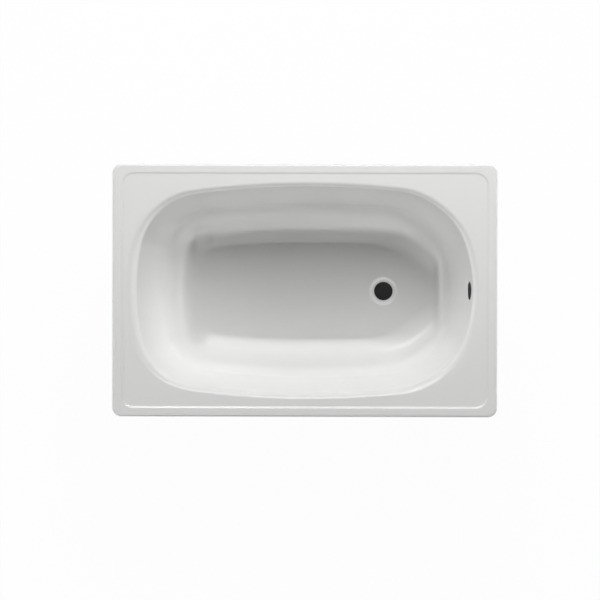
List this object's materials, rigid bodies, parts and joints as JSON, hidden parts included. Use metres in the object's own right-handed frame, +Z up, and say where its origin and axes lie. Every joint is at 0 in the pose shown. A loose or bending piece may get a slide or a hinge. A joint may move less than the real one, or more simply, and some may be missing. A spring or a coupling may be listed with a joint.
{
  "type": "pressed steel bath",
  "caption": "White enamelled pressed steel bath, 1050 x 690 mm, with a stepped flat rim, bare drain and overflow holes, and four adjustable feet on two leg bars.",
  "frame": {"origin": "on the floor under the middle of the rim, with the feet at their middle height", "axes": "+X along the bath towards the drain end, +Y to the left seen from the head end, +Z up"},
  "size_m": [1.05, 0.69, 0.56],
  "materials": {
    "enamel": "gloss",
    "ground_coat": "satin",
    "zinc_steel": "satin",
    "black_plastic": "matte",
    "rubber": "matte",
    "bitumen": "matte"
  },
  "bodies": {
    "bath": {"bath_shell": "enamel", "floor_damping_mat": "bitumen", "backrest_damping_mat": "bitumen", "left_side_damping_mat": "bitumen", "right_side_damping_mat": "bitumen", "head_left_lug": "ground_coat", "head_right_lug": "ground_coat", "drain_left_lug": "ground_coat", "drain_right_lug": "ground_coat", "lug_weld_nuts": "ground_coat", "leg_bolts": "zinc_steel", "leg_bolt_washers": "zinc_steel", "head_leg_bar": "zinc_steel", "drain_leg_bar": "zinc_steel", "head_support_pad": "rubber", "drain_support_pad": "rubber", "upper_stud_washers": "zinc_steel", "lower_stud_washers": "zinc_steel", "earthing_tab": "ground_coat", "earthing_screw": "zinc_steel", "earthing_washer": "zinc_steel", "earthing_nut": "zinc_steel"},
    "head_left_foot": {"head_left_stud": "zinc_steel", "head_left_foot_cap": "black_plastic", "head_left_foot_sole": "rubber"},
    "head_left_adjuster": {"head_left_adjusting_nut": "zinc_steel"},
    "head_left_locker": {"head_left_lock_nut": "zinc_steel"},
    "head_right_foot": {"head_right_stud": "zinc_steel", "head_right_foot_cap": "black_plastic", "head_right_foot_sole": "rubber"},
    "head_right_adjuster": {"head_right_adjusting_nut": "zinc_steel"},
    "head_right_locker": {"head_right_lock_nut": "zinc_steel"},
    "drain_left_foot": {"drain_left_stud": "zinc_steel", "drain_left_foot_cap": "black_plastic", "drain_left_foot_sole": "rubber"},
    "drain_left_adjuster": {"drain_left_adjusting_nut": "zinc_steel"},
    "drain_left_locker": {"drain_left_lock_nut": "zinc_steel"},
    "drain_right_foot": {"drain_right_stud": "zinc_steel", "drain_right_foot_cap": "black_plastic", "drain_right_foot_sole": "rubber"},
    "drain_right_adjuster": {"drain_right_adjusting_nut": "zinc_steel"},
    "drain_right_locker": {"drain_right_lock_nut": "zinc_steel"}
  },
  "joints": [
    {"name": "head_left_nut_turn", "type": "hinge", "parent": "bath", "child": "head_left_adjuster", "pos_m": [-0.19, 0.24, 0.15345], "axis": [0, 0, 1], "range_deg": [-4320, 4320]},
    {"name": "head_left_foot_travel", "type": "slide", "parent": "bath", "child": "head_left_foot", "axis": [0, 0, -1], "range_m": [-0.021, 0.021]},
    {"name": "head_left_lock_nut_turn", "type": "hinge", "parent": "bath", "child": "head_left_locker", "pos_m": [-0.19, 0.24, 0.17095], "axis": [0, 0, 1], "range_deg": [-4320, 4320]},
    {"name": "head_right_nut_turn", "type": "hinge", "parent": "bath", "child": "head_right_adjuster", "pos_m": [-0.19, -0.24, 0.15345], "axis": [0, 0, 1], "range_deg": [-4320, 4320]},
    {"name": "head_right_foot_travel", "type": "slide", "parent": "bath", "child": "head_right_foot", "axis": [0, 0, -1], "range_m": [-0.021, 0.021]},
    {"name": "head_right_lock_nut_turn", "type": "hinge", "parent": "bath", "child": "head_right_locker", "pos_m": [-0.19, -0.24, 0.17095], "axis": [0, 0, 1], "range_deg": [-4320, 4320]},
    {"name": "drain_left_nut_turn", "type": "hinge", "parent": "bath", "child": "drain_left_adjuster", "pos_m": [0.126, 0.24, 0.15345], "axis": [0, 0, 1], "range_deg": [-4320, 4320]},
    {"name": "drain_left_foot_travel", "type": "slide", "parent": "bath", "child": "drain_left_foot", "axis": [0, 0, -1], "range_m": [-0.021, 0.021]},
    {"name": "drain_left_lock_nut_turn", "type": "hinge", "parent": "bath", "child": "drain_left_locker", "pos_m": [0.126, 0.24, 0.17095], "axis": [0, 0, 1], "range_deg": [-4320, 4320]},
    {"name": "drain_right_nut_turn", "type": "hinge", "parent": "bath", "child": "drain_right_adjuster", "pos_m": [0.126, -0.24, 0.15345], "axis": [0, 0, 1], "range_deg": [-4320, 4320]},
    {"name": "drain_right_foot_travel", "type": "slide", "parent": "bath", "child": "drain_right_foot", "axis": [0, 0, -1], "range_m": [-0.021, 0.021]},
    {"name": "drain_right_lock_nut_turn", "type": "hinge", "parent": "bath", "child": "drain_right_locker", "pos_m": [0.126, -0.24, 0.17095], "axis": [0, 0, 1], "range_deg": [-4320, 4320]}
  ],
  "couplings": [
    {"joint": "head_left_nut_turn", "follows": "head_left_foot_travel", "rad_per_m": 3590.4},
    {"joint": "head_left_lock_nut_turn", "follows": "head_left_foot_travel", "rad_per_m": 3590.4},
    {"joint": "head_right_nut_turn", "follows": "head_right_foot_travel", "rad_per_m": 3590.4},
    {"joint": "head_right_lock_nut_turn", "follows": "head_right_foot_travel", "rad_per_m": 3590.4},
    {"joint": "drain_left_nut_turn", "follows": "drain_left_foot_travel", "rad_per_m": 3590.4},
    {"joint": "drain_left_lock_nut_turn", "follows": "drain_left_foot_travel", "rad_per_m": 3590.4},
    {"joint": "drain_right_nut_turn", "follows": "drain_right_foot_travel", "rad_per_m": 3590.4},
    {"joint": "drain_right_lock_nut_turn", "follows": "drain_right_foot_travel", "rad_per_m": 3590.4}
  ]
}
